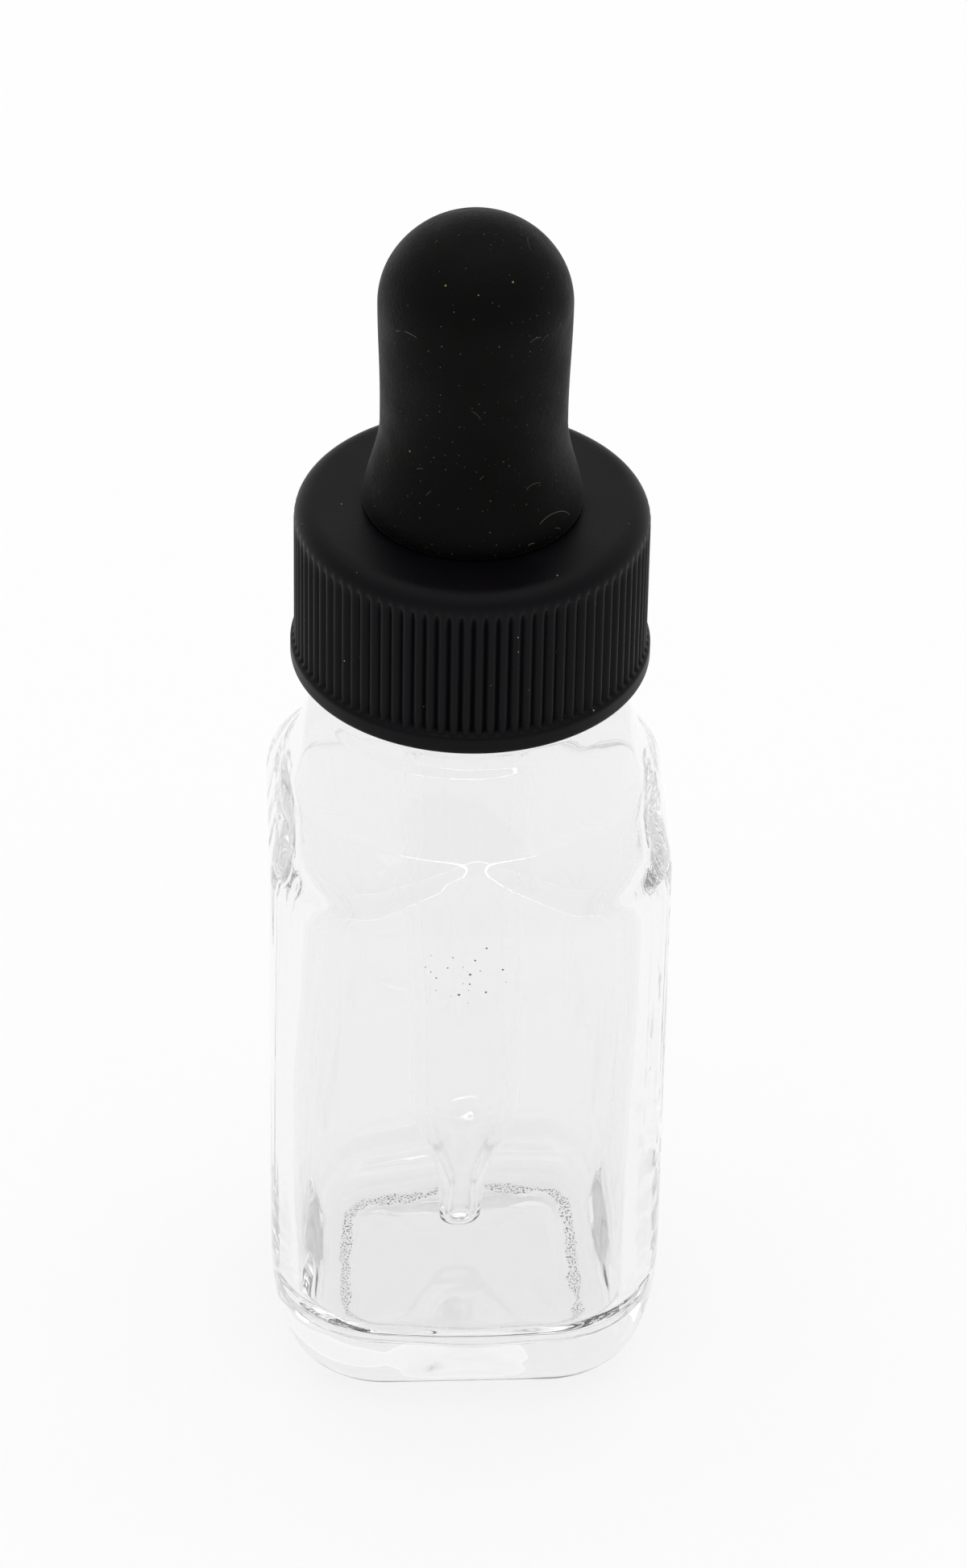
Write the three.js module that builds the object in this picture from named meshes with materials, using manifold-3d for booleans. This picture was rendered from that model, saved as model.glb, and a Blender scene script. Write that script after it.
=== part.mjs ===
// A square glass dropper bottle: a glass bottle with a screw neck, a ribbed screw cap, and a dropper made
// of a rubber bulb and a glass pipette. The bulb's flange is held between the cap and the bottle's lip.
// Millimetres, +Z up. The origin is the middle of the base, and the bottle's flat sides face X and Y.
import * as THREE from 'three';
import { mergeVertices } from 'three/addons/utils/BufferGeometryUtils.js';
import Module from 'manifold-3d';

const wasm = await Module();
wasm.setup();

// ---- driving dimensions ----

const BODY_HALF = 12.7;        // half the width of the square body
const FLAT_HALF = 5.3;         // half the flat stretch of a side; the rest of the side is corner
const BASE_CORNER_SHARE = 0.3; // corner radius over half width where the base is narrower than the body
const WALL = 1.8;              // glass thickness of the sides
const FLOOR_Z = 4.1;           // top of the glass floor
const PUSH_UP = 0.7;           // height of the hollow under the floor
const BEARING_INNER = 7.2;     // the flat ring that the bottle stands on
const BEARING_OUTER = 8.2;
const HEEL_HEIGHT = 9.4;       // height of the rounded lower edge
const HEEL_PULL = 0.7;         // how full the lower edge is; 0.55 is an ellipse
const SHOULDER_Z = 38.9;       // where the straight sides end
const SQUARE_Z = 40.0;         // where the corners start to round off into the shoulder
const NECK_BASE_Z = 50.6;      // where the shoulder meets the neck
const ROUND_Z = 43.9;          // every section above this is a circle
const INSIDE_TOP_Z = 38.4;     // where the inside walls start to draw in
const BORE_BOTTOM_Z = 51.5;    // where the bore starts to widen into the body

const NECK_R = 8.75;           // 20-400 neck finish: root of the thread
const NECK_RING_R = 9.3;       // ring at the foot of the neck
const NECK_BORE_R = 6.2;
const LIP_Z = 60.95;           // sealing face
const LIP_ROUND = 0.6;

const THREAD_PITCH = 3.175;    // 8 threads to the inch
const THREAD_DEPTH = 1.0;
const THREAD_CLEARANCE = 0.3;  // radial gap between one thread's crest and the other's root
const NECK_THREAD_Z = 55.6;    // height of the middle of the neck thread at angle 0
const NECK_THREAD_TURNS = 1.1;
const CAP_THREAD_TURNS = 1.0;
const CAP_THREAD_START = -0.2; // in turns, on the same helix as the neck thread
const THREAD_FADE = 0.07;      // in turns, the run-out at each end of a thread
const THREAD_SINK = 0.4;       // how far a thread's foot is sunk into its wall

const CAP_BOTTOM_Z = 52.07;
const CAP_TOP_Z = 63.34;
const CAP_PLATE = 1.29;        // thickness of the cap's top
const CAP_FLANGE_R = 11.23;
const CAP_FLANGE_TOP_Z = 53.3;
const CAP_EDGE = 1.3;          // rounding of the top edge
const RIB_COUNT = 90;
const RIB_CREST_R = 11.0;
const RIB_ROOT_R = 10.72;
const CAP_HOLE_R = 5.7;

const SEAT_GAP = 0.1;          // between the bulb and what it touches
const BULB_WAIST_R = 5.75;
const BULB_WAIST_Z = 69.2;
const BULB_R = 5.9;
const BULB_DOME_Z = 77.6;
const BULB_DOME_HEIGHT = 5.6;
const BULB_FOOT_R = 6.8;
const BULB_FLANGE_R = 8.6;
const BULB_CHAMBER_R = 4.4;
const BULB_DOME_WALL = 1.5;

const PIPETTE_R = 3.75;
const PIPETTE_WALL = 1.0;
const PIPETTE_TOP_Z = 67.9;
const PIPETTE_BEAD_R = 4.15;
const PIPETTE_TAPER_TOP_Z = 17.6;
const PIPETTE_TAPER_END_Z = 9.4;
const PIPETTE_DRAWN_R = 1.5;   // where the taper ends and the slim tip starts
const PIPETTE_TIP_R = 1.2;
const PIPETTE_TIP_BORE_R = 0.55;
const PIPETTE_TIP_Z = 6.6;

const BOTTLE_SIDES = 48;
const CAP_SIDES = 48;
const BULB_SIDES = 32;
const PIPETTE_SIDES = 24;
const THREAD_STEPS_PER_TURN = 30;

// ---- materials ----

const clearGlass = new THREE.MeshStandardMaterial({
  color: 0xe6efec,
  roughness: 0.04,
  metalness: 0,
  transparent: true,
  opacity: 0.35,
});
const blackPlastic = new THREE.MeshStandardMaterial({ color: 0x1c1b20, roughness: 0.45, metalness: 0 });
const blackRubber = new THREE.MeshStandardMaterial({ color: 0x141414, roughness: 0.85, metalness: 0 });

// ---- outlines ----

const point = (r, z) => new THREE.Vector2(r, z);

// Points on an elliptical arc round (r, z), from one angle to another in degrees.
function arc(r, z, radiusR, radiusZ, from, to, steps) {
  const points = [];
  for (let i = 0; i <= steps; i += 1) {
    const angle = THREE.MathUtils.degToRad(from + ((to - from) * i) / steps);
    points.push(point(r + radiusR * Math.cos(angle), z + radiusZ * Math.sin(angle)));
  }
  return points;
}

// Points on a smooth curve between two ends, each with a pull of its own.
function bezier(start, pullStart, pullEnd, end, steps) {
  return new THREE.CubicBezierCurve(start, pullStart, pullEnd, end).getPoints(steps);
}

// ---- solids ----

// The geometry with shared vertices, no collapsed triangles and its faces pointing out.
function closed(geometry) {
  const bare = geometry.clone();
  bare.deleteAttribute('normal');
  bare.deleteAttribute('uv');
  const merged = mergeVertices(bare, 1e-4);
  const from = merged.index.array;
  const at = new THREE.Vector3();
  const next = new THREE.Vector3();
  const last = new THREE.Vector3();
  const kept = [];
  let volume = 0;
  for (let i = 0; i < from.length; i += 3) {
    const [a, b, c] = [from[i], from[i + 1], from[i + 2]];
    if (a !== b && b !== c && c !== a) {
      kept.push(a, b, c);
      at.fromBufferAttribute(merged.attributes.position, a);
      next.fromBufferAttribute(merged.attributes.position, b);
      last.fromBufferAttribute(merged.attributes.position, c);
      volume += at.dot(next.cross(last)) / 6;
    }
  }
  if (volume < 0) {
    for (let i = 0; i < kept.length; i += 3) {
      [kept[i], kept[i + 1]] = [kept[i + 1], kept[i]];
    }
  }
  merged.setIndex(kept);
  return merged;
}

function toManifold(geometry) {
  const shell = closed(geometry);
  return new wasm.Manifold(
    new wasm.Mesh({
      numProp: 3,
      vertProperties: new Float32Array(shell.attributes.position.array),
      triVerts: new Uint32Array(shell.index.array),
    }),
  );
}

function toGeometry(manifold) {
  const mesh = manifold.getMesh();
  const geometry = new THREE.BufferGeometry();
  geometry.setAttribute('position', new THREE.BufferAttribute(new Float32Array(mesh.vertProperties), 3));
  geometry.setIndex(new THREE.BufferAttribute(new Uint32Array(mesh.triVerts), 1));
  return geometry;
}

function part(name, geometry, material) {
  const shown = geometry.clone();
  shown.computeVertexNormals();
  const mesh = new THREE.Mesh(shown, material);
  mesh.name = name;
  return mesh;
}

// A profile of radius and height turned about the Z axis.
function turned(profile, sides) {
  return new THREE.LatheGeometry(profile, sides).rotateX(Math.PI / 2);
}

// How far a section of a given half width and height is flat, from the middle of a side to its corner.
function flatStretch(half, z) {
  const rise = THREE.MathUtils.smoothstep(z, SQUARE_Z, ROUND_Z);
  return Math.min(FLAT_HALF, (1 - BASE_CORNER_SHARE) * half) * (1 - rise);
}

// Distance from the axis to a rounded square, in the direction of an angle.
function roundedSquare(half, flat, angle) {
  const quarter = Math.PI / 2;
  const turn = ((angle % quarter) + quarter) % quarter;
  const a = Math.min(turn, quarter - turn);
  if (Math.tan(a) * half <= flat) return half / Math.cos(a);
  const corner = half - flat;
  const sum = Math.cos(a) + Math.sin(a);
  return flat * sum + Math.sqrt(flat * flat * (sum * sum - 2) + corner * corner);
}

// A turned shape pressed square below its shoulder, as the bottle's mould does.
function squared(geometry) {
  const position = geometry.attributes.position;
  for (let i = 0; i < position.count; i += 1) {
    const x = position.getX(i);
    const y = position.getY(i);
    const half = Math.hypot(x, y);
    const angle = Math.atan2(y, x);
    const reach = half < 1e-6 ? 0 : roundedSquare(half, flatStretch(half, position.getZ(i)), angle);
    position.setXY(i, reach * Math.cos(angle), reach * Math.sin(angle));
  }
  return geometry;
}

// A thread: a straight bar of tapered section, wound on a helix. rootR is where its foot meets the wall,
// and outward is 1 for a thread on a neck and -1 for one inside a cap.
function thread({ rootR, outward, footWidth, crestWidth, startTurn, turns, z }) {
  const section = new THREE.Shape([
    point(-THREAD_SINK, -footWidth / 2),
    point(0, -footWidth / 2),
    point(THREAD_DEPTH, -crestWidth / 2),
    point(THREAD_DEPTH, crestWidth / 2),
    point(0, footWidth / 2),
    point(-THREAD_SINK, footWidth / 2),
  ]);
  const bar = new THREE.ExtrudeGeometry(section, {
    depth: turns,
    steps: Math.round(turns * THREAD_STEPS_PER_TURN),
    bevelEnabled: false,
  });
  const position = bar.attributes.position;
  for (let i = 0; i < position.count; i += 1) {
    const along = position.getZ(i);
    const fade = Math.min(1, along / THREAD_FADE, (turns - along) / THREAD_FADE);
    const depth = position.getX(i);
    const standing = depth > 0 ? depth * fade - (1 - fade) * (THREAD_SINK / 2) : depth;
    const r = rootR + outward * standing;
    const angle = 2 * Math.PI * (startTurn + along);
    const height = z + THREAD_PITCH * (startTurn + along) + position.getY(i);
    position.setXYZ(i, r * Math.cos(angle), r * Math.sin(angle), height);
  }
  return toManifold(bar);
}

// ---- glass bottle ----

function bottle() {
  const inside = BODY_HALF - WALL;
  const profile = [
    ...[0, 0.35, 0.7, 1].map((share) => point(BEARING_INNER * share, PUSH_UP * (1 - share ** 2))),
    ...bezier(
      point(BEARING_OUTER, 0),
      point(THREE.MathUtils.lerp(BEARING_OUTER, BODY_HALF, HEEL_PULL), 0),
      point(BODY_HALF, HEEL_HEIGHT * (1 - HEEL_PULL)),
      point(BODY_HALF, HEEL_HEIGHT),
      7,
    ),
    ...bezier(
      point(BODY_HALF, SHOULDER_Z),
      point(BODY_HALF, SHOULDER_Z + 2.4),
      point(10.3, 46.4),
      point(NECK_RING_R, NECK_BASE_Z),
      9,
    ),
    point(NECK_RING_R, NECK_BASE_Z + 0.5),
    point(NECK_R, NECK_BASE_Z + 0.95),
    ...arc(NECK_R - LIP_ROUND, LIP_Z - LIP_ROUND, LIP_ROUND, LIP_ROUND, 0, 90, 2),
    ...arc(NECK_BORE_R + LIP_ROUND, LIP_Z - LIP_ROUND, LIP_ROUND, LIP_ROUND, 90, 180, 2),
    ...bezier(
      point(NECK_BORE_R, BORE_BOTTOM_Z),
      point(NECK_BORE_R, BORE_BOTTOM_Z - 3),
      point(inside, INSIDE_TOP_Z + 7.1),
      point(inside, INSIDE_TOP_Z),
      8,
    ),
    ...arc(inside - 3, FLOOR_Z + 3.4, 3, 3.4, 0, -90, 3),
    point(0, FLOOR_Z),
  ];
  const blank = toManifold(squared(turned(profile, BOTTLE_SIDES)));
  const ridge = thread({
    rootR: NECK_R,
    outward: 1,
    footWidth: 1.9,
    crestWidth: 0.9,
    startTurn: 0,
    turns: NECK_THREAD_TURNS,
    z: NECK_THREAD_Z,
  });
  return part('glass_bottle', toGeometry(blank.add(ridge)), clearGlass);
}

// ---- screw cap ----

// A ring of upright grip ribs.
function ribs() {
  const pitch = (2 * Math.PI) / RIB_COUNT;
  const outline = new THREE.Shape();
  outline.moveTo(RIB_ROOT_R, 0);
  for (let i = 1; i < 2 * RIB_COUNT; i += 1) {
    const r = i % 2 ? RIB_CREST_R : RIB_ROOT_R;
    outline.lineTo(r * Math.cos((i * pitch) / 2), r * Math.sin((i * pitch) / 2));
  }
  outline.closePath();
  const hole = new THREE.Path();
  hole.absarc(0, 0, RIB_ROOT_R - 0.35, 0, 2 * Math.PI);
  outline.holes.push(hole);
  const height = CAP_TOP_Z - CAP_EDGE - CAP_FLANGE_TOP_Z + 0.2;
  const ring = new THREE.ExtrudeGeometry(outline, {
    depth: height,
    bevelEnabled: false,
    curveSegments: CAP_SIDES / 4,
  });
  return toManifold(ring.translate(0, 0, CAP_FLANGE_TOP_Z - 0.1));
}

function cap() {
  const threadRootR = NECK_R + THREAD_DEPTH + THREAD_CLEARANCE;
  const insideTop = CAP_TOP_Z - CAP_PLATE;
  const edgeZ = CAP_TOP_Z - CAP_EDGE;
  const rim = point(threadRootR + 0.25, CAP_BOTTOM_Z);
  const profile = [
    rim,
    point(CAP_FLANGE_R - 0.2, CAP_BOTTOM_Z),
    point(CAP_FLANGE_R, CAP_BOTTOM_Z + 0.2),
    point(CAP_FLANGE_R, CAP_FLANGE_TOP_Z - 0.25),
    point(RIB_ROOT_R, CAP_FLANGE_TOP_Z),
    point(RIB_ROOT_R, edgeZ - 0.1),
    ...arc(RIB_CREST_R - CAP_EDGE, edgeZ, CAP_EDGE, CAP_EDGE, 0, 90, 5),
    point(CAP_HOLE_R, CAP_TOP_Z),
    point(CAP_HOLE_R, insideTop),
    point(threadRootR, insideTop),
    point(threadRootR, CAP_BOTTOM_Z + 0.35),
    rim.clone(),
  ];
  const shell = toManifold(turned(profile, CAP_SIDES));
  const ridge = thread({
    rootR: threadRootR,
    outward: -1,
    footWidth: 1.7,
    crestWidth: 0.7,
    startTurn: CAP_THREAD_START,
    turns: CAP_THREAD_TURNS,
    z: NECK_THREAD_Z - THREAD_PITCH / 2,
  });
  return part('screw_cap', toGeometry(shell.add(ribs()).add(ridge)), blackPlastic);
}

// ---- dropper ----

function bulb() {
  const footZ = CAP_TOP_Z + SEAT_GAP;
  const collarR = CAP_HOLE_R - SEAT_GAP;
  const flangeTop = CAP_TOP_Z - CAP_PLATE - SEAT_GAP;
  const flangeBottom = LIP_Z + SEAT_GAP;
  const gripR = PIPETTE_R + SEAT_GAP;
  const profile = [
    ...arc(0, BULB_DOME_Z, BULB_R, BULB_DOME_HEIGHT, 90, 0, 8),
    point((BULB_R + BULB_WAIST_R) / 2, 73.4),
    ...bezier(
      point(BULB_WAIST_R, BULB_WAIST_Z),
      point(BULB_WAIST_R + 0.1, 67),
      point(BULB_FOOT_R - 0.1, 65.2),
      point(BULB_FOOT_R, footZ + 0.4),
      6,
    ),
    point(BULB_FOOT_R - 0.25, footZ),
    point(collarR, footZ),
    point(collarR, flangeTop),
    point(BULB_FLANGE_R, flangeTop),
    point(BULB_FLANGE_R, flangeBottom),
    point(gripR, flangeBottom),
    point(gripR, PIPETTE_TOP_Z - 1.2),
    point(BULB_CHAMBER_R, PIPETTE_TOP_Z - 0.9),
    ...arc(0, BULB_DOME_Z, BULB_CHAMBER_R, BULB_DOME_HEIGHT - BULB_DOME_WALL, 0, 90, 6),
  ];
  return part('rubber_bulb', closed(turned(profile, BULB_SIDES)), blackRubber);
}

// The drawn glass between the tube and the slim tip: a smooth run from one radius to the other.
function drawn(tubeR, slimR, steps) {
  const points = [];
  for (let i = 0; i <= steps; i += 1) {
    const share = i / steps;
    const z = THREE.MathUtils.lerp(PIPETTE_TAPER_TOP_Z, PIPETTE_TAPER_END_Z, share);
    points.push(point(THREE.MathUtils.lerp(tubeR, slimR, THREE.MathUtils.smoothstep(share, 0, 1)), z));
  }
  return points;
}

function pipette() {
  const boreR = PIPETTE_R - PIPETTE_WALL;
  const start = point(PIPETTE_TIP_BORE_R, PIPETTE_TIP_Z);
  const profile = [
    start,
    ...drawn(boreR, PIPETTE_TIP_BORE_R, 6).reverse(),
    point(boreR, PIPETTE_TOP_Z),
    point(PIPETTE_BEAD_R - 0.3, PIPETTE_TOP_Z),
    point(PIPETTE_BEAD_R, PIPETTE_TOP_Z - 0.25),
    point(PIPETTE_BEAD_R, PIPETTE_TOP_Z - 0.6),
    point(PIPETTE_R, PIPETTE_TOP_Z - 0.8),
    ...drawn(PIPETTE_R, PIPETTE_DRAWN_R, 7),
    point(PIPETTE_TIP_R, PIPETTE_TIP_Z + 0.3),
    point(PIPETTE_TIP_R - 0.25, PIPETTE_TIP_Z),
    start.clone(),
  ];
  return part('glass_pipette', closed(turned(profile, PIPETTE_SIDES)), clearGlass);
}

const dropperBottle = new THREE.Group();
dropperBottle.add(bottle(), cap(), bulb(), pipette());

export default dropperBottle;
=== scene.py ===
"""A square glass dropper bottle: moulded glass bottle, ribbed screw cap, rubber bulb and drawn glass pipette.

Lengths in the outlines are millimetres, and MM turns them into Blender's metres. Heights and radii that the
frame gives are read from it. +Z is up, and the bottle's flat sides face X and Y.
"""

import math

import bmesh
import bpy
from mathutils import Matrix, Vector, noise


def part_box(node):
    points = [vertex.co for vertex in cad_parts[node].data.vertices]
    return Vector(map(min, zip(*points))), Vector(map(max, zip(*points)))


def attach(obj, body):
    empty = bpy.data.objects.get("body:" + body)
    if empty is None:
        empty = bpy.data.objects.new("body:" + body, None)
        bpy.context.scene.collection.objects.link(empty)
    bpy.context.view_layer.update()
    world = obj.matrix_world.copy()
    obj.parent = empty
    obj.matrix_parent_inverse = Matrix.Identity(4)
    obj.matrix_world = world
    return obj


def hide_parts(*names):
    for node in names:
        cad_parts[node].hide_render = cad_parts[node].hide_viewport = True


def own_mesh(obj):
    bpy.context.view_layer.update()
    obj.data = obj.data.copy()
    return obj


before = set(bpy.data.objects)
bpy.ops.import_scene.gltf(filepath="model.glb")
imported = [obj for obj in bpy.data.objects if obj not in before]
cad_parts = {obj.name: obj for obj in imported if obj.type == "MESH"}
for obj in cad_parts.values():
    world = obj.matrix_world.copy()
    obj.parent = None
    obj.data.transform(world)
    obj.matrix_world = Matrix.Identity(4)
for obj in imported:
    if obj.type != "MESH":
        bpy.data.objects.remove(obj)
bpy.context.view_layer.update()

MM = 0.001
SCENE = bpy.context.scene


def height_of(node):
    """Lowest and highest level of a CAD node, in millimetres."""
    low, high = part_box(node)
    return low.z / MM, high.z / MM


# ---- sizes shared by the pieces, in millimetres ----

BODY_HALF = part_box("glass_bottle")[1].x / MM
FLAT_HALF = 5.3
BASE_CORNER_SHARE = 0.3
WALL = 1.8
FLOOR_Z = 4.1
PUSH_UP = 0.7
BEARING_INNER = 7.2
BEARING_OUTER = 8.2
HEEL_HEIGHT = 9.4
HEEL_PULL = 0.7
FLOOR_CORNER_R = 3.0
FLOOR_CORNER_HEIGHT = 3.4
SHOULDER_Z = 38.9
SQUARE_Z = 40.0
NECK_BASE_Z = 50.6
ROUND_Z = 43.9
INSIDE_TOP_Z = 38.4
BORE_BOTTOM_Z = 51.5
NECK_R = 8.75
NECK_RING_R = 9.3
NECK_BORE_R = 6.2
LIP_Z = height_of("glass_bottle")[1]
LIP_ROUND = 0.6

THREAD_PITCH = 3.175
THREAD_DEPTH = 1.0
NECK_THREAD_Z = 55.6
NECK_THREAD_TURNS = 1.1
CAP_THREAD_TURNS = 1.0
CAP_THREAD_START = -0.2
THREAD_FADE = 0.07
NECK_THREAD_FOOT = 2.1
NECK_THREAD_CREST = 0.7
CAP_THREAD_FOOT = 1.8
CAP_THREAD_CREST = 0.6

CAP_BOTTOM_Z, CAP_TOP_Z = height_of("screw_cap")
CAP_PLATE = 1.29
CAP_FLANGE_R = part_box("screw_cap")[1].x / MM
CAP_FLANGE_TOP_Z = 53.3
CAP_EDGE = 1.3
CAP_INSIDE_R = 10.05
CAP_HOLE_R = 5.7
RIB_COUNT = 90
RIB_CREST_R = 11.0
RIB_ROOT_R = 10.72

SEAT_GAP = 0.1
BULB_FOOT_GAP = 0.02
BULB_WAIST_R = 5.75
BULB_WAIST_Z = 69.2
BULB_R = 5.9
BULB_DOME_Z = 77.6
BULB_TOP_Z = height_of("rubber_bulb")[1]
BULB_FOOT_R = 6.8
BULB_FLANGE_R = 8.6
BULB_CHAMBER_R = 4.4
BULB_DOME_WALL = 1.5

PIPETTE_TIP_Z, PIPETTE_TOP_Z = height_of("glass_pipette")
PIPETTE_R = 3.75
PIPETTE_WALL = 1.0
PIPETTE_BEAD_R = 4.15
PIPETTE_TAPER_TOP_Z = 17.6
PIPETTE_TAPER_END_Z = 9.4
PIPETTE_DRAWN_R = 1.5
PIPETTE_TIP_R = 1.2
PIPETTE_TIP_BORE_R = 0.55

SMUDGE_MIDDLE = (-0.7, -BODY_HALF, 36.4)
SMUDGE_RADII = (3.8, 0.8, 2.9)
WALL_WAVE = 0.3
FLOOR_WAVE = 0.28
RUBBER_WAVE = 0.05


# ---- outlines: lists of (radius, height) in millimetres ----


def arc(r, z, radius_r, radius_z, start, end, steps):
    """Points on an elliptical arc round (r, z), from one angle to another in degrees."""
    points = []
    for i in range(steps + 1):
        angle = math.radians(start + (end - start) * i / steps)
        points.append((r + radius_r * math.cos(angle), z + radius_z * math.sin(angle)))
    return points


def bezier(start, pull_start, pull_end, end, steps):
    """Points on a smooth curve between two ends, each with a pull of its own."""
    points = []
    for i in range(steps + 1):
        t = i / steps
        shares = ((1 - t) ** 3, 3 * t * (1 - t) ** 2, 3 * t * t * (1 - t), t**3)
        corners = (start, pull_start, pull_end, end)
        points.append(tuple(sum(w * c[k] for w, c in zip(shares, corners)) for k in (0, 1)))
    return points


def straight(start, end, steps):
    """Points on a straight line, both ends among them."""
    return [
        tuple(a + (b - a) * i / steps for a, b in zip(start, end)) for i in range(steps + 1)
    ]


def smoothstep(value, low, high):
    """0 below low, 1 above high, and a smooth rise between them."""
    t = min(1.0, max(0.0, (value - low) / (high - low)))
    return t * t * (3 - 2 * t)


# ---- mesh work ----

SECTORS = 16


def spun(outline, sides, closed=False):
    """An outline spun once about Z, as a bmesh in millimetres with its normals outwards.

    One sector is spun and copied round, which is much faster than one long spin.
    """
    bm = bmesh.new()
    verts = [bm.verts.new((r, 0, z)) for r, z in outline]
    pairs = list(zip(verts, verts[1:] + verts[:1])) if closed else list(zip(verts, verts[1:]))
    edges = [bm.edges.new(pair) for pair in pairs]
    bmesh.ops.spin(
        bm,
        geom=verts + edges,
        cent=(0, 0, 0),
        axis=(0, 0, 1),
        angle=2 * math.pi / SECTORS,
        steps=sides // SECTORS,
        use_merge=False,
    )
    sector = bm.verts[:] + bm.edges[:] + bm.faces[:]
    for i in range(1, SECTORS):
        copy = bmesh.ops.duplicate(bm, geom=sector)["geom"]
        bmesh.ops.rotate(
            bm,
            cent=(0, 0, 0),
            matrix=Matrix.Rotation(2 * math.pi * i / SECTORS, 3, "Z"),
            verts=[part for part in copy if isinstance(part, bmesh.types.BMVert)],
        )
    bmesh.ops.remove_doubles(bm, verts=bm.verts, dist=1e-4)
    bmesh.ops.recalc_face_normals(bm, faces=bm.faces)
    return bm


def finished(bm, name, material, body, node, smooth_angle):
    """The bmesh as a piece in metres that rides on a body and stands for a CAD node."""
    bmesh.ops.scale(bm, vec=(MM, MM, MM), verts=bm.verts)
    mesh = bpy.data.meshes.new(name)
    bm.to_mesh(mesh)
    bm.free()
    rest = mesh.attributes.new("rest_place", "FLOAT_VECTOR", "POINT")
    rest.data.foreach_set("vector", [c for vert in mesh.vertices for c in vert.co])
    mesh.materials.append(material)
    mesh.shade_smooth()
    mesh.set_sharp_from_angle(angle=math.radians(smooth_angle))
    piece = bpy.data.objects.new(name, mesh)
    SCENE.collection.objects.link(piece)
    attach(piece, body)
    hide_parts(node)
    return piece


def around(vert):
    """A vertex's angle about Z in turns, from 0 to 1."""
    return (math.atan2(vert.co.y, vert.co.x) / (2 * math.pi)) % 1.0


def radial(vert):
    """A vertex's distance from the Z axis."""
    return math.hypot(vert.co.x, vert.co.y)


def set_radius(vert, r):
    """Moves a vertex straight out from the Z axis, or in towards it."""
    old = radial(vert)
    if old > 1e-6:
        vert.co.x *= r / old
        vert.co.y *= r / old


def thread_height(turn, z, z_start, start, turns, foot, crest):
    """How far a helical thread stands up at a place on its wall, as a share of its depth."""
    lap = round((z - z_start) / THREAD_PITCH - turn)
    along = turn + lap - start
    if not 0 <= along <= turns:
        return 0.0
    off = abs(z - z_start - THREAD_PITCH * (turn + lap))
    flank = 1 - smoothstep(off, crest / 2, foot / 2)
    return flank * smoothstep(min(along, turns - along), 0, THREAD_FADE)


# ---- glass bottle ----


def flat_stretch(half, z):
    """How far a section of a given half width and height is flat, from the middle of a side."""
    rise = smoothstep(z, SQUARE_Z, ROUND_Z)
    return min(FLAT_HALF, (1 - BASE_CORNER_SHARE) * half) * (1 - rise)


def rounded_square(half, flat, turn):
    """Distance from the axis to a rounded square, in the direction of a share of a turn."""
    a = (turn % 0.25) * 2 * math.pi
    a = min(a, math.pi / 2 - a)
    if math.tan(a) * half <= flat:
        return half / math.cos(a)
    corner = half - flat
    both = math.cos(a) + math.sin(a)
    return flat * both + math.sqrt(flat * flat * (both * both - 2) + corner * corner)


def bottle_outline():
    """The glass from the middle of the base, up the outside, over the lip and down the inside."""
    inside = BODY_HALF - WALL
    hollow = [(BEARING_INNER * i / 24, PUSH_UP * (1 - (i / 24) ** 2)) for i in range(24)]
    return (
        hollow
        + straight((BEARING_INNER, 0), (BEARING_OUTER - 0.1, 0), 8)
        + bezier(
            (BEARING_OUTER, 0),
            (BEARING_OUTER + (BODY_HALF - BEARING_OUTER) * HEEL_PULL, 0),
            (BODY_HALF, HEEL_HEIGHT * (1 - HEEL_PULL)),
            (BODY_HALF, HEEL_HEIGHT),
            34,
        )
        + straight((BODY_HALF, HEEL_HEIGHT + 1), (BODY_HALF, SHOULDER_Z - 0.5), 32)
        + bezier(
            (BODY_HALF, SHOULDER_Z),
            (BODY_HALF, SHOULDER_Z + 2.4),
            (10.3, 46.4),
            (NECK_RING_R, NECK_BASE_Z),
            40,
        )
        + straight((NECK_RING_R, NECK_BASE_Z + 0.15), (NECK_RING_R, NECK_BASE_Z + 0.5), 2)
        + bezier(
            (NECK_RING_R - 0.05, NECK_BASE_Z + 0.6),
            (NECK_RING_R - 0.2, NECK_BASE_Z + 0.8),
            (NECK_R, NECK_BASE_Z + 0.8),
            (NECK_R, NECK_BASE_Z + 1.2),
            5,
        )
        + straight((NECK_R, NECK_BASE_Z + 1.35), (NECK_R, LIP_Z - LIP_ROUND - 0.1), 54)
        + arc(NECK_R - LIP_ROUND, LIP_Z - LIP_ROUND, LIP_ROUND, LIP_ROUND, 0, 90, 6)
        + arc(NECK_BORE_R + LIP_ROUND, LIP_Z - LIP_ROUND, LIP_ROUND, LIP_ROUND, 90, 180, 6)
        + straight((NECK_BORE_R, LIP_Z - LIP_ROUND - 0.4), (NECK_BORE_R, BORE_BOTTOM_Z + 0.4), 12)
        + bezier(
            (NECK_BORE_R, BORE_BOTTOM_Z),
            (NECK_BORE_R, BORE_BOTTOM_Z - 3),
            (inside, INSIDE_TOP_Z + 7.1),
            (inside, INSIDE_TOP_Z),
            44,
        )
        + straight((inside, INSIDE_TOP_Z - 1), (inside, FLOOR_Z + 4.2), 30)
        + arc(
            inside - FLOOR_CORNER_R,
            FLOOR_Z + FLOOR_CORNER_HEIGHT,
            FLOOR_CORNER_R,
            FLOOR_CORNER_HEIGHT,
            0,
            -90,
            18,
        )
        + straight((inside - FLOOR_CORNER_R - 0.4, FLOOR_Z), (0, FLOOR_Z), 12)
    )


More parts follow.
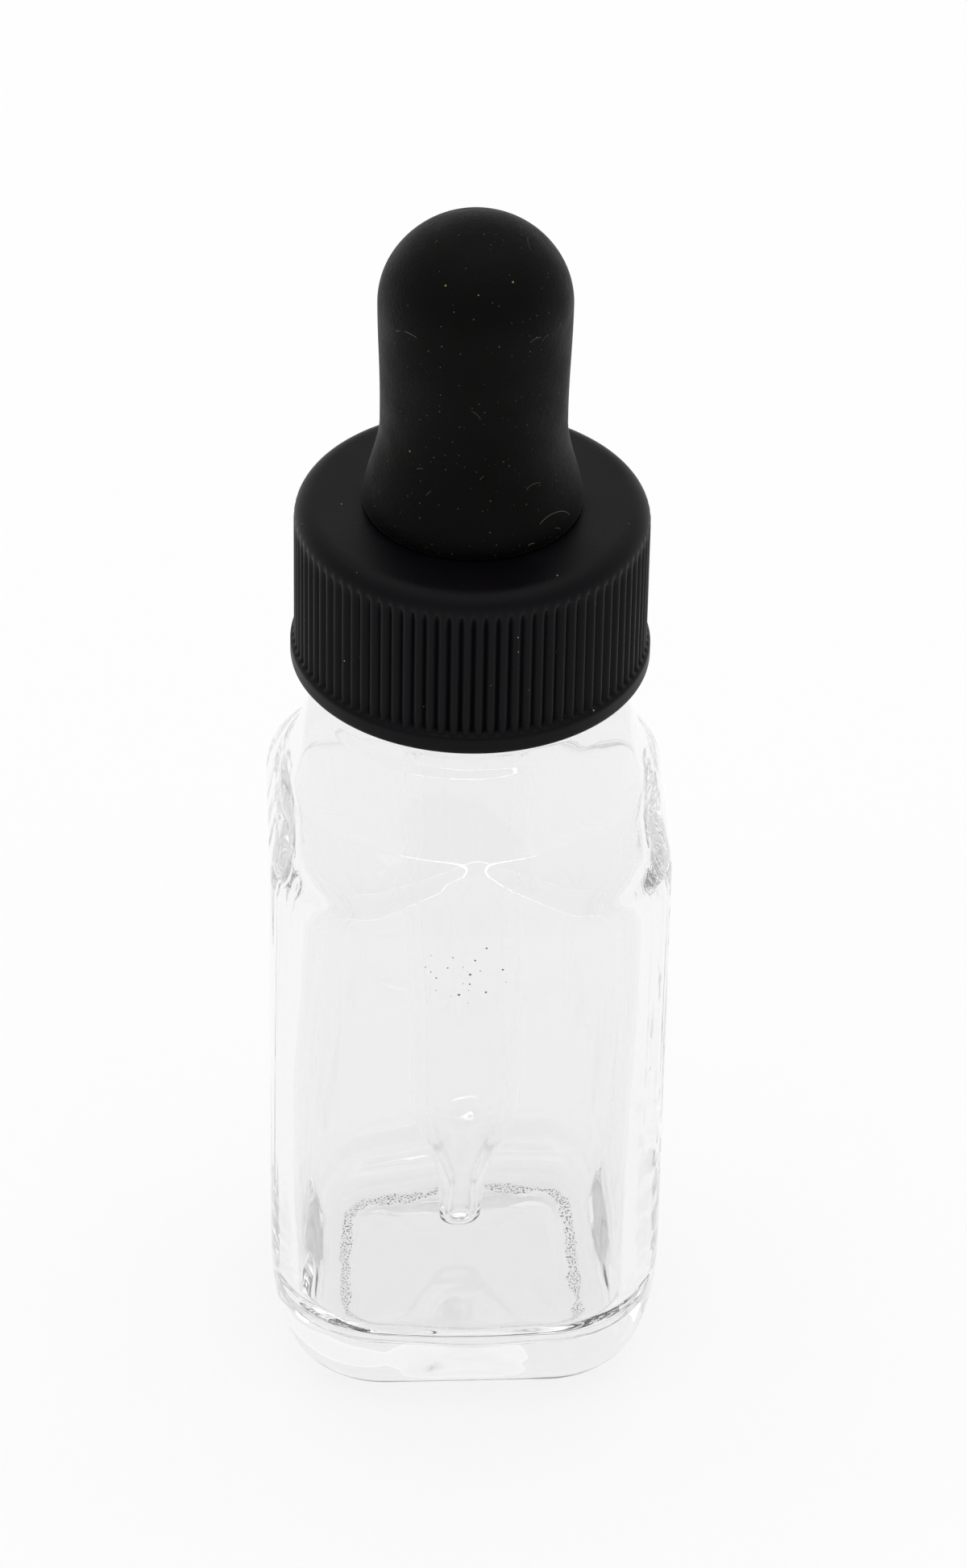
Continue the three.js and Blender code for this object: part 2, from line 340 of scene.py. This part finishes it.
def glass_bottle(material):
    """One closed wall of glass, pressed square below the shoulder, with its thread."""
    bm = spun(bottle_outline(), 288)
    inner_face = BODY_HALF - WALL / 2
    for vert in bm.verts:
        half, z, turn = radial(vert), vert.co.z, around(vert)
        if half < 1e-4:
            continue
        on_neck = NECK_BASE_Z + 1.2 < z < LIP_Z - LIP_ROUND and half > NECK_R - 0.05
        if on_neck:
            rise = thread_height(
                turn,
                z,
                NECK_THREAD_Z,
                0,
                NECK_THREAD_TURNS,
                NECK_THREAD_FOOT,
                NECK_THREAD_CREST,
            )
            set_radius(vert, half + THREAD_DEPTH * rise)
            continue
        reach = rounded_square(half, flat_stretch(half, z), turn)
        set_radius(vert, reach)
        # blown glass settles unevenly inside: the wall and floor vary by a few tenths
        inside_wall = half < inner_face and z > FLOOR_Z - 0.1 and z < NECK_BASE_Z - 1
        if inside_wall:
            wave = noise.noise(Vector((vert.co.x * 0.12, vert.co.y * 0.12, z * 0.05)))
            set_radius(vert, radial(vert) + WALL_WAVE * wave)
            low = 1 - smoothstep(z, FLOOR_Z + 1, FLOOR_Z + 7)
            slow = math.sin(2 * math.pi * (2 * turn + 0.17))
            fast = math.sin(2 * math.pi * 5 * turn)
            vert.co.z += low * FLOOR_WAVE * (slow + 0.6 * fast) * smoothstep(half, 2, 8)
    return finished(bm, "glass_bottle_moulded", material, "bottle", "glass_bottle", 60)


# ---- screw cap ----


def cap_outline():
    """The cap's wall as a closed loop: foot band, ribbed side, rounded edge, top, hole and inside."""
    edge_z = CAP_TOP_Z - CAP_EDGE
    inside_top = CAP_TOP_Z - CAP_PLATE
    return (
        arc(CAP_FLANGE_R - 0.25, CAP_BOTTOM_Z + 0.25, 0.25, 0.25, -90, 0, 4)
        + straight((CAP_FLANGE_R, CAP_BOTTOM_Z + 0.5), (CAP_FLANGE_R, CAP_FLANGE_TOP_Z - 0.35), 3)
        + bezier(
            (CAP_FLANGE_R, CAP_FLANGE_TOP_Z - 0.2),
            (CAP_FLANGE_R, CAP_FLANGE_TOP_Z),
            (RIB_CREST_R, CAP_FLANGE_TOP_Z),
            (RIB_CREST_R, CAP_FLANGE_TOP_Z + 0.2),
            4,
        )
        + straight((RIB_CREST_R, CAP_FLANGE_TOP_Z + 0.3), (RIB_CREST_R, edge_z - 0.1), 22)
        + arc(RIB_CREST_R - CAP_EDGE, edge_z, CAP_EDGE, CAP_EDGE, 0, 90, 12)
        + straight((RIB_CREST_R - CAP_EDGE - 0.3, CAP_TOP_Z), (CAP_HOLE_R + 0.2, CAP_TOP_Z), 5)
        + arc(CAP_HOLE_R + 0.15, CAP_TOP_Z - 0.15, 0.15, 0.15, 90, 180, 3)
        + straight((CAP_HOLE_R, inside_top + 0.2), (CAP_HOLE_R, inside_top), 2)
        + straight((CAP_HOLE_R + 0.5, inside_top), (CAP_INSIDE_R - 0.3, inside_top), 4)
        + arc(CAP_INSIDE_R - 0.25, inside_top - 0.25, 0.25, 0.25, 90, 0, 3)
        + straight((CAP_INSIDE_R, inside_top - 0.5), (CAP_INSIDE_R, CAP_BOTTOM_Z + 0.4), 52)
        + straight((CAP_INSIDE_R + 0.12, CAP_BOTTOM_Z + 0.15), (CAP_INSIDE_R + 0.25, CAP_BOTTOM_Z), 1)
    )


def screw_cap(material):
    """The cap with its grip ribs on the outside and its thread on the inside."""
    bm = spun(cap_outline(), RIB_COUNT * 8, closed=True)
    groove = RIB_CREST_R - RIB_ROOT_R
    for vert in bm.verts:
        r, z, turn = radial(vert), vert.co.z, around(vert)
        if r > RIB_CREST_R - CAP_EDGE * 0.6 and z > CAP_FLANGE_TOP_Z - 0.02:
            wave = 0.5 - 0.5 * math.cos(2 * math.pi * RIB_COUNT * turn)
            runs_out = 1 - smoothstep(z, CAP_TOP_Z - 1.9, CAP_TOP_Z - 0.75)
            foot = smoothstep(z, CAP_FLANGE_TOP_Z - 0.02, CAP_FLANGE_TOP_Z + 0.25)
            set_radius(vert, r - groove * (1 - wave**0.55) * runs_out * foot)
        elif abs(r - CAP_INSIDE_R) < 0.02 and CAP_BOTTOM_Z + 0.3 < z:
            rise = thread_height(
                turn,
                z,
                NECK_THREAD_Z - THREAD_PITCH / 2,
                CAP_THREAD_START,
                CAP_THREAD_TURNS,
                CAP_THREAD_FOOT,
                CAP_THREAD_CREST,
            )
            set_radius(vert, r - THREAD_DEPTH * rise)
    return finished(bm, "screw_cap_ribbed", material, "cap", "screw_cap", 50)


# ---- rubber bulb ----


def rubber_bulb(material):
    """The bulb above the cap, with its air chamber, from the foot that rests on the cap to the dome."""
    foot_z = CAP_TOP_Z + BULB_FOOT_GAP
    dome_height = BULB_TOP_Z - BULB_DOME_Z
    grip_r = PIPETTE_R + SEAT_GAP
    outline = (
        arc(0, BULB_DOME_Z, BULB_R, dome_height, 90, 0, 28)
        + bezier(
            (BULB_R, BULB_DOME_Z - 0.4),
            (BULB_R, BULB_DOME_Z - 3),
            (BULB_WAIST_R, BULB_WAIST_Z + 3),
            (BULB_WAIST_R, BULB_WAIST_Z),
            16,
        )
        + bezier(
            (BULB_WAIST_R, BULB_WAIST_Z - 0.2),
            (BULB_WAIST_R + 0.1, 67),
            (BULB_FOOT_R - 0.1, 65.2),
            (BULB_FOOT_R, foot_z + 0.5),
            18,
        )
        + arc(BULB_FOOT_R - 0.3, foot_z + 0.3, 0.3, 0.3, -10, -90, 4)
        + straight((CAP_HOLE_R + 0.3, foot_z), (grip_r, foot_z), 3)
        + straight((grip_r, foot_z + 0.3), (grip_r, PIPETTE_TOP_Z - 1.2), 6)
        + straight((BULB_CHAMBER_R, PIPETTE_TOP_Z - 0.9), (BULB_CHAMBER_R, BULB_DOME_Z - 0.3), 10)
        + arc(0, BULB_DOME_Z, BULB_CHAMBER_R, dome_height - BULB_DOME_WALL, 0, 90, 14)
    )
    bm = spun(outline, 128)
    for vert in bm.verts:
        # hand-trimmed, slightly uneven rubber
        wave = noise.noise(vert.co * 0.16)
        lift = smoothstep(vert.co.z, foot_z + 0.6, foot_z + 4)
        set_radius(vert, radial(vert) + RUBBER_WAVE * wave * lift)
    piece = finished(bm, "rubber_bulb_dome", material, "dropper", "rubber_bulb", 50)
    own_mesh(piece)
    return piece


def bulb_flange(material):
    """The rest of the bulb: its collar in the cap's hole and the sealing flange under the cap."""
    flange_top = CAP_TOP_Z - CAP_PLATE - SEAT_GAP
    flange_bottom = LIP_Z + SEAT_GAP
    collar_r = CAP_HOLE_R - SEAT_GAP
    grip_r = PIPETTE_R + SEAT_GAP
    outline = (
        straight((grip_r, CAP_TOP_Z), (collar_r, CAP_TOP_Z), 2)
        + straight((collar_r, CAP_TOP_Z - 0.3), (collar_r, flange_top), 3)
        + straight((collar_r + 0.5, flange_top), (BULB_FLANGE_R - 0.2, flange_top), 4)
        + arc(BULB_FLANGE_R - 0.15, flange_top - 0.15, 0.15, 0.15, 90, 0, 3)
        + arc(BULB_FLANGE_R - 0.15, flange_bottom + 0.15, 0.15, 0.15, 0, -90, 3)
        + straight((BULB_FLANGE_R - 0.6, flange_bottom), (grip_r, flange_bottom), 5)
        + straight((grip_r, flange_bottom + 0.4), (grip_r, CAP_TOP_Z - 0.4), 3)
    )
    bm = spun(outline, 96, closed=True)
    return finished(bm, "rubber_bulb_flange", material, "dropper", "rubber_bulb", 50)


# ---- glass pipette ----


def drawn(tube_r, slim_r, steps):
    """The run of drawn glass from the tube's radius down to that of the slim tip."""
    points = []
    for i in range(steps + 1):
        share = i / steps
        z = PIPETTE_TAPER_TOP_Z + (PIPETTE_TAPER_END_Z - PIPETTE_TAPER_TOP_Z) * share
        points.append((tube_r + (slim_r - tube_r) * smoothstep(share, 0, 1), z))
    return points


def glass_pipette(material):
    """A straight tube with a beaded top, drawn down to a fire-polished tip."""
    bore_r = PIPETTE_R - PIPETTE_WALL
    tip_round = (PIPETTE_TIP_R - PIPETTE_TIP_BORE_R) / 2
    top = PIPETTE_TOP_Z
    drawn_end = PIPETTE_TAPER_END_Z - 0.5
    outline = (
        straight((PIPETTE_TIP_BORE_R, PIPETTE_TIP_Z + 0.25), (PIPETTE_TIP_BORE_R, drawn_end), 6)
        + drawn(bore_r, PIPETTE_TIP_BORE_R, 20)[::-1]
        + straight((bore_r, PIPETTE_TAPER_TOP_Z + 1), (bore_r, top - 0.3), 30)
        + arc(bore_r + 0.3, top - 0.3, 0.3, 0.3, 180, 90, 4)
        + arc(PIPETTE_BEAD_R - 0.4, top - 0.4, 0.4, 0.4, 90, -60, 7)
        + straight((PIPETTE_R, top - 0.95), (PIPETTE_R, PIPETTE_TAPER_TOP_Z + 1), 30)
        + drawn(PIPETTE_R, PIPETTE_DRAWN_R, 24)
        + straight((PIPETTE_DRAWN_R - 0.05, drawn_end), (PIPETTE_TIP_R, PIPETTE_TIP_Z + 0.5), 6)
        + arc(
            (PIPETTE_TIP_R + PIPETTE_TIP_BORE_R) / 2,
            PIPETTE_TIP_Z + tip_round,
            tip_round,
            tip_round,
            0,
            -180,
            8,
        )
    )
    bm = spun(outline, 96, closed=True)
    return finished(bm, "glass_pipette_drawn", material, "dropper", "glass_pipette", 60)


# ---- materials ----


def srgb(hex_code, alpha=1.0):
    """A colour written as sRGB hex, in the linear values that shaders take."""
    channels = [int(hex_code[i : i + 2], 16) / 255 for i in (1, 3, 5)]
    linear = [c / 12.92 if c <= 0.04045 else ((c + 0.055) / 1.055) ** 2.4 for c in channels]
    return (*linear, alpha)


def add(tree, kind, settings=None, links=None):
    """Adds a node, with its settings and socket values by name, and links into its sockets."""
    node = tree.nodes.new(kind)
    for name, value in (settings or {}).items():
        if isinstance(name, str) and hasattr(node, name):
            setattr(node, name, value)
        else:
            node.inputs[name].default_value = value
    for name, source in (links or {}).items():
        tree.links.new(source, node.inputs[name])
    return node


def blank_material(name):
    """A material with only an output, and its node tree."""
    material = bpy.data.materials.new(name)
    material.use_nodes = True
    material.node_tree.nodes.clear()
    return material, material.node_tree, add(material.node_tree, "ShaderNodeOutputMaterial")


def rest_place(tree):
    """Where a point of the piece is when nothing is moved or squashed, so that marks stay put."""
    return add(tree, "ShaderNodeAttribute", {"attribute_name": "rest_place"}).outputs["Vector"]


def crumbs(tree, place, cell_mm, share, size):
    """A mask of small specks: one in some of the cells, none more than a share of a cell in radius."""
    cells = add(
        tree,
        "ShaderNodeVectorMath",
        {"operation": "SCALE", "Scale": 1 / (cell_mm * MM)},
        {0: place},
    )
    spots = add(tree, "ShaderNodeTexVoronoi", {"Scale": 1.0}, {"Vector": cells.outputs[0]})
    chance = add(tree, "ShaderNodeSeparateColor", links={0: spots.outputs["Color"]})
    reach = add(
        tree,
        "ShaderNodeMapRange",
        {"From Min": 1 - share, "From Max": 1.0, "To Min": 0.0, "To Max": size},
        {"Value": chance.outputs[0]},
    )
    mask = add(
        tree,
        "ShaderNodeMath",
        {"operation": "LESS_THAN"},
        {0: spots.outputs["Distance"], 1: reach.outputs["Result"]},
    )
    return mask.outputs[0], chance.outputs[1]


def fibres(tree, place, cell_mm, share, width):
    """A mask of short bent fibres: where a thin bent sheet through a cell's middle cuts the surface."""
    cells = add(
        tree,
        "ShaderNodeVectorMath",
        {"operation": "SCALE", "Scale": 1 / (cell_mm * MM)},
        {0: place},
    )
    seeds = add(tree, "ShaderNodeTexVoronoi", {"Scale": 1.0}, {"Vector": cells.outputs[0]})
    away = add(
        tree,
        "ShaderNodeVectorMath",
        {"operation": "SUBTRACT"},
        {0: cells.outputs[0], 1: seeds.outputs["Position"]},
    )
    lean = add(
        tree,
        "ShaderNodeVectorMath",
        {"operation": "SUBTRACT", 1: (0.5, 0.5, 0.5)},
        {0: seeds.outputs["Color"]},
    )
    facing = add(
        tree, "ShaderNodeVectorMath", {"operation": "NORMALIZE"}, {0: lean.outputs[0]}
    )
    off = add(
        tree,
        "ShaderNodeVectorMath",
        {"operation": "DOT_PRODUCT"},
        {0: away.outputs[0], 1: facing.outputs[0]},
    )
    far = add(tree, "ShaderNodeVectorMath", {"operation": "LENGTH"}, {0: away.outputs[0]})
    bend = add(
        tree,
        "ShaderNodeMath",
        {"operation": "MULTIPLY_ADD", 1: 0.9, 2: -0.12},
        {0: far.outputs["Value"]},
    )
    bent = add(
        tree,
        "ShaderNodeMath",
        {"operation": "MULTIPLY_ADD"},
        {0: bend.outputs[0], 1: far.outputs["Value"], 2: off.outputs["Value"]},
    )
    thin = add(
        tree, "ShaderNodeMath", {"operation": "COMPARE", 1: 0.0, 2: width}, {0: bent.outputs[0]}
    )
    chance = add(tree, "ShaderNodeSeparateColor", links={0: seeds.outputs["Color"]})
    length = add(
        tree,
        "ShaderNodeMapRange",
        {"From Min": 1 - share, "From Max": 1.0, "To Min": 0.0, "To Max": 0.5},
        {"Value": chance.outputs[2]},
    )
    short = add(
        tree,
        "ShaderNodeMath",
        {"operation": "LESS_THAN"},
        {0: far.outputs["Value"], 1: length.outputs["Result"]},
    )
    mask = add(
        tree,
        "ShaderNodeMath",
        {"operation": "MULTIPLY"},
        {0: thin.outputs[0], 1: short.outputs[0]},
    )
    return mask.outputs[0], chance.outputs[1]


def dusted(tree, colour, marks, tan, pale, strength):
    """A colour with specks or fibres over it, some tan and some pale."""
    mask, pick = marks
    dust = add(tree, "ShaderNodeMix", {"data_type": "RGBA", 6: srgb(tan), 7: srgb(pale)}, {0: pick})
    cover = add(tree, "ShaderNodeMath", {"operation": "MULTIPLY", 1: strength}, {0: mask})
    mixed = add(
        tree,
        "ShaderNodeMix",
        {"data_type": "RGBA"},
        {0: cover.outputs[0], 6: colour, 7: dust.outputs[2]},
    )
    return mixed.outputs[2]


def front_smudge(tree, place):
    """A mask of grit that thins out from the middle of a patch on the front wall, in ragged clumps."""
    inside = add(
        tree,
        "ShaderNodeVectorMath",
        {"operation": "SUBTRACT", 1: [c * MM for c in SMUDGE_MIDDLE]},
        {0: place},
    )
    spread = add(
        tree,
        "ShaderNodeVectorMath",
        {"operation": "DIVIDE", 1: [c * MM for c in SMUDGE_RADII]},
        {0: inside.outputs[0]},
    )
    out = add(tree, "ShaderNodeVectorMath", {"operation": "LENGTH"}, {0: spread.outputs[0]})
    clumps = add(
        tree,
        "ShaderNodeTexNoise",
        {"Scale": 1 / (0.9 * MM), "Detail": 2.0},
        {"Vector": place},
    )
    ragged = add(
        tree,
        "ShaderNodeMath",
        {"operation": "MULTIPLY_ADD", 1: 1.6},
        {0: out.outputs["Value"], 2: clumps.outputs["Fac"]},
    )
    near = add(
        tree, "ShaderNodeMath", {"operation": "LESS_THAN", 1: 1.65}, {0: ragged.outputs[0]}
    )
    dots = crumbs(tree, place, 0.34, 0.6, 0.26)[0]
    both = add(
        tree, "ShaderNodeMath", {"operation": "MULTIPLY"}, {0: near.outputs[0], 1: dots}
    )
    return both.outputs[0]


def stippled_ring(tree, place):
    """A mask of the fine grit along the rounded-square ring that the bottle stands on."""
    middle = (BEARING_INNER + BEARING_OUTER) / 2
    flat = flat_stretch(middle, 0)
    size = add(tree, "ShaderNodeVectorMath", {"operation": "ABSOLUTE"}, {0: place})
    beyond = add(
        tree,
        "ShaderNodeVectorMath",
        {"operation": "SUBTRACT", 1: (flat * MM, flat * MM, 0)},
        {0: size.outputs[0]},
    )
    corner = add(
        tree, "ShaderNodeVectorMath", {"operation": "MAXIMUM", 1: (0, 0, 0)}, {0: beyond.outputs[0]}
    )
    reach = add(tree, "ShaderNodeVectorMath", {"operation": "LENGTH"}, {0: corner.outputs[0]})
    patchy = add(
        tree, "ShaderNodeTexNoise", {"Scale": 1 / (2.4 * MM), "Detail": 3.0}, {"Vector": place}
    )
    width = add(
        tree,
        "ShaderNodeMapRange",
        {"From Min": 0.35, "From Max": 0.65, "To Min": 0.15 * MM, "To Max": 0.75 * MM},
        {"Value": patchy.outputs["Fac"]},
    )
    on_ring = add(
        tree,
        "ShaderNodeMath",
        {"operation": "COMPARE", 1: (middle - flat) * MM},
        {0: reach.outputs["Value"], 2: width.outputs["Result"]},
    )
    height = add(tree, "ShaderNodeSeparateXYZ", links={0: place})
    low = add(
        tree,
        "ShaderNodeMath",
        {"operation": "LESS_THAN", 1: 0.4 * MM},
        {0: height.outputs["Z"]},
    )
    grain = add(
        tree, "ShaderNodeTexNoise", {"Scale": 1 / (0.15 * MM), "Detail": 2.0}, {"Vector": place}
    )
    dark = add(
        tree, "ShaderNodeMath", {"operation": "GREATER_THAN", 1: 0.56}, {0: grain.outputs["Fac"]}
    )
    band = add(
        tree, "ShaderNodeMath", {"operation": "MULTIPLY"}, {0: on_ring.outputs[0], 1: low.outputs[0]}
    )
    both = add(
        tree, "ShaderNodeMath", {"operation": "MULTIPLY"}, {0: band.outputs[0], 1: dark.outputs[0]}
    )
    return both.outputs[0]


def glass_material(name, tint, shade, ior, ripple_mm, ripple_strength, marks):
    """Clear glass that lets lamps through, so that what it holds and stands on is lit.

    Its surface ripples a little, which bends what is seen through it. Each of the marks gives a mask, and
    shows as grey grit on the surface.
    """
    material, tree, output = blank_material(name)
    place = rest_place(tree)
    ripple = add(
        tree,
        "ShaderNodeTexNoise",
        {"Scale": 1 / (ripple_mm * MM), "Detail": 1.5, "Roughness": 0.4},
        {"Vector": place},
    )
    bump = add(
        tree,
        "ShaderNodeBump",
        {"Strength": ripple_strength, "Distance": 0.2 * MM},
        {"Height": ripple.outputs["Fac"]},
    )
    surface = add(
        tree,
        "ShaderNodeBsdfPrincipled",
        {"Base Color": srgb(tint), "Roughness": 0.0, "IOR": ior, "Transmission Weight": 1.0},
        {"Normal": bump.outputs["Normal"]},
    )
    seen = surface.outputs[0]
    for mark in marks:
        grit = add(tree, "ShaderNodeBsdfDiffuse", {"Color": srgb("#8e908b"), "Roughness": 1.0})
        soiled = add(
            tree,
            "ShaderNodeMixShader",
            links={0: mark(tree, place), 1: seen, 2: grit.outputs[0]},
        )
        seen = soiled.outputs[0]
    shadow = add(tree, "ShaderNodeBsdfTransparent", {"Color": srgb(shade)})
    path = add(tree, "ShaderNodeLightPath")
    mix = add(
        tree,
        "ShaderNodeMixShader",
        links={0: path.outputs["Is Shadow Ray"], 1: seen, 2: shadow.outputs[0]},
    )
    tree.links.new(mix.outputs[0], output.inputs["Surface"])
    return material


def cap_plastic():
    """Black polypropylene, moulded against a spark-eroded tool: a soft satin with a fine even grain."""
    material, tree, output = blank_material("black_polypropylene_satin")
    place = rest_place(tree)
    grain = add(
        tree,
        "ShaderNodeTexNoise",
        {"Scale": 1 / (0.18 * MM), "Detail": 3.0, "Roughness": 0.6},
        {"Vector": place},
    )
    cloud = add(
        tree, "ShaderNodeTexNoise", {"Scale": 1 / (4 * MM), "Detail": 4.0}, {"Vector": place}
    )
    tone = add(
        tree,
        "ShaderNodeMix",
        {"data_type": "RGBA", 6: srgb("#040305"), 7: srgb("#070509")},
        {0: cloud.outputs["Fac"]},
    )
    speckled = dusted(
        tree, tone.outputs[2], crumbs(tree, place, 0.8, 0.3, 0.07), "#8d8d8d", "#c4c4c4", 0.8
    )
    gloss = add(
        tree,
        "ShaderNodeMapRange",
        {"From Min": 0.3, "From Max": 0.7, "To Min": 0.36, "To Max": 0.46},
        {"Value": cloud.outputs["Fac"]},
    )
    bump = add(
        tree,
        "ShaderNodeBump",
        {"Strength": 0.6, "Distance": 0.02 * MM},
        {"Height": grain.outputs["Fac"]},
    )
    surface = add(
        tree,
        "ShaderNodeBsdfPrincipled",
        {"IOR": 1.49, "Specular IOR Level": 0.1},
        {
            "Base Color": speckled,
            "Roughness": gloss.outputs["Result"],
            "Normal": bump.outputs["Normal"],
        },
    )
    tree.links.new(surface.outputs[0], output.inputs["Surface"])
    return material


def bulb_rubber():
    """Black moulded rubber with a dry matte skin that holds dust, crumbs and lint."""
    material, tree, output = blank_material("black_rubber_dusty")
    place = rest_place(tree)
    skin = add(
        tree,
        "ShaderNodeTexNoise",
        {"Scale": 1 / (0.25 * MM), "Detail": 4.0, "Roughness": 0.65},
        {"Vector": place},
    )
    cloud = add(
        tree,
        "ShaderNodeTexNoise",
        {"Scale": 1 / (3.5 * MM), "Detail": 5.0, "Roughness": 0.6},
        {"Vector": place},
    )
    tone = add(
        tree,
        "ShaderNodeMix",
        {"data_type": "RGBA", 6: srgb("#030202"), 7: srgb("#060504")},
        {0: cloud.outputs["Fac"]},
    )
    colour = tone.outputs[2]
    colour = dusted(tree, colour, crumbs(tree, place, 0.38, 0.75, 0.14), "#4a4234", "#5a5a5a", 0.6)
    colour = dusted(tree, colour, crumbs(tree, place, 1.0, 0.26, 0.1), "#8a6f45", "#a8a49a", 0.8)
    colour = dusted(tree, colour, fibres(tree, place, 1.5, 0.22, 0.009), "#5a4e38", "#5f5e5a", 0.6)
    colour = dusted(tree, colour, fibres(tree, place, 3.1, 0.25, 0.005), "#6c5f42", "#706e68", 0.7)
    gloss = add(
        tree,
        "ShaderNodeMapRange",
        {"From Min": 0.35, "From Max": 0.65, "To Min": 0.46, "To Max": 0.62},
        {"Value": cloud.outputs["Fac"]},
    )
    bump = add(
        tree,
        "ShaderNodeBump",
        {"Strength": 0.9, "Distance": 0.05 * MM},
        {"Height": skin.outputs["Fac"]},
    )
    surface = add(
        tree,
        "ShaderNodeBsdfPrincipled",
        {"IOR": 1.52, "Specular IOR Level": 0.065, "Sheen Weight": 0.05, "Sheen Roughness": 0.3},
        {
            "Base Color": colour,
            "Roughness": gloss.outputs["Result"],
            "Normal": bump.outputs["Normal"],
        },
    )
    tree.links.new(surface.outputs[0], output.inputs["Surface"])
    return material


def floor_board():
    """White opal acrylic lit from below: matte, and nearly free of shadows."""
    material, tree, output = blank_material("white_opal_acrylic_backlit")
    place = add(tree, "ShaderNodeTexCoord").outputs["Object"]
    cloud = add(
        tree, "ShaderNodeTexNoise", {"Scale": 1 / (300 * MM), "Detail": 2.0}, {"Vector": place}
    )
    tone = add(
        tree,
        "ShaderNodeMix",
        {"data_type": "RGBA", 6: srgb("#9a9a9a"), 7: srgb("#9c9c9c")},
        {0: cloud.outputs["Fac"]},
    )
    surface = add(
        tree,
        "ShaderNodeBsdfPrincipled",
        {
            "Roughness": 0.9,
            "Specular IOR Level": 0.1,
            "Emission Color": srgb("#ffffff"),
            "Emission Strength": 0.65,
        },
        {"Base Color": tone.outputs[2]},
    )
    tree.links.new(surface.outputs[0], output.inputs["Surface"])
    return material


# ---- studio ----


def studio_floor():
    """A wide backlit sheet, just under the level that the bottle stands on."""
    bm = bmesh.new()
    bmesh.ops.create_grid(bm, x_segments=1, y_segments=1, size=3.0)
    mesh = bpy.data.meshes.new("studio_floor")
    bm.to_mesh(mesh)
    bm.free()
    mesh.materials.append(floor_board())
    floor = bpy.data.objects.new("studio_floor", mesh)
    SCENE.collection.objects.link(floor)
    floor.location.z = -0.00002


def area_light(name, size, watts, matrix):
    """A rectangular lamp that shines along its own -Z, and isn't seen by the camera itself."""
    data = bpy.data.lights.new(name, "AREA")
    data.shape = "RECTANGLE"
    data.size, data.size_y = size
    data.energy = watts
    lamp = bpy.data.objects.new(name, data)
    lamp.matrix_world = matrix
    lamp.visible_camera = False
    SCENE.collection.objects.link(lamp)


def strip_light(name, start, end, thickness, watts_per_metre):
    """A thin bright line between two places, facing the middle of the bottle."""
    bottle_middle = Vector((0, 0, 0.044))
    along = (end - start).normalized()
    middle = (start + end) / 2
    back = middle - bottle_middle
    back = (back - along * back.dot(along)).normalized()
    matrix = Matrix((along, back.cross(along), back)).transposed().to_4x4()
    matrix.translation = middle
    length = (end - start).length
    area_light(name, (length, thickness), watts_per_metre * length, matrix)


def studio_light():
    """Soft light from above, a low strip in front, and a pale room that is brighter behind the bottle."""
    world = bpy.data.worlds.new("pale_room")
    world.use_nodes = True
    tree = world.node_tree
    tree.nodes.clear()
    output = add(tree, "ShaderNodeOutputWorld")
    way = add(tree, "ShaderNodeTexCoord")
    split = add(tree, "ShaderNodeSeparateXYZ", links={0: way.outputs["Generated"]})
    level = add(
        tree,
        "ShaderNodeMapRange",
        {"From Min": -0.9, "From Max": 0.5, "To Min": 0.62, "To Max": 0.9},
        {"Value": split.outputs["Y"]},
    )
    sky = add(
        tree,
        "ShaderNodeBackground",
        {"Color": srgb("#ffffff")},
        {"Strength": level.outputs["Result"]},
    )
    tree.links.new(sky.outputs[0], output.inputs["Surface"])
    SCENE.world = world
    area_light("overhead_softbox", (1.5, 1.5), 5.0, Matrix.Translation((0, 0, 1.2)))
    # a low bright line in front, which the shoulder shows as a thin curved glint
    strip_light("front_strip", Vector((-0.85, -1.0, 0.07)), Vector((0.85, -1.0, 0.07)), 0.012, 0.3)


def camera():
    """A long lens, well above the bottle and a few degrees round to one side."""
    data = bpy.data.cameras.new("camera")
    data.sensor_width = 36
    data.lens = 149.9
    data.clip_start = 0.01
    data.clip_end = 20
    view = bpy.data.objects.new("camera", data)
    SCENE.collection.objects.link(view)
    turn = Matrix.Rotation(math.radians(-3.10), 3, "Z")
    place = turn @ Vector((0, -0.33408, 0.28578))
    right = turn @ Vector((0.9999, 0.0079, 0.0149))
    ahead = turn @ Vector((0.0024, 0.8075, -0.5899))
    right = (right - ahead * right.dot(ahead)).normalized()
    ahead.normalize()
    up = right.cross(ahead)
    matrix = Matrix((right, up, -ahead)).transposed().to_4x4()
    matrix.translation = place
    view.matrix_world = matrix
    SCENE.camera = view


# ---- the scene ----

# light crosses many glass walls on its way through the bottle and the pipette
SCENE.view_settings.view_transform = "Standard"
SCENE.cycles.max_bounces = 64
SCENE.cycles.transmission_bounces = 64
SCENE.cycles.glossy_bounces = 64
SCENE.cycles.transparent_max_bounces = 64

camera()
# flint glass blown in a mould: nearly colourless, with a slow ripple, dark edges where it bends and some grit
bottle_glass = glass_material(
    "flint_glass_moulded", "#f8f8f8", "#fdfdfd", 1.517, 5.0, 0.12, (stippled_ring, front_smudge)
)
# borosilicate drawn as a tube: clearer, smoother and less bending than the bottle's glass
tube_glass = glass_material("borosilicate_tube_drawn", "#fefefe", "#fefefe", 1.47, 9.0, 0.03, ())
rubber = bulb_rubber()
glass_bottle(bottle_glass)
glass_pipette(tube_glass)
screw_cap(cap_plastic())
rubber_bulb(rubber)
bulb_flange(rubber)
studio_floor()
studio_light()
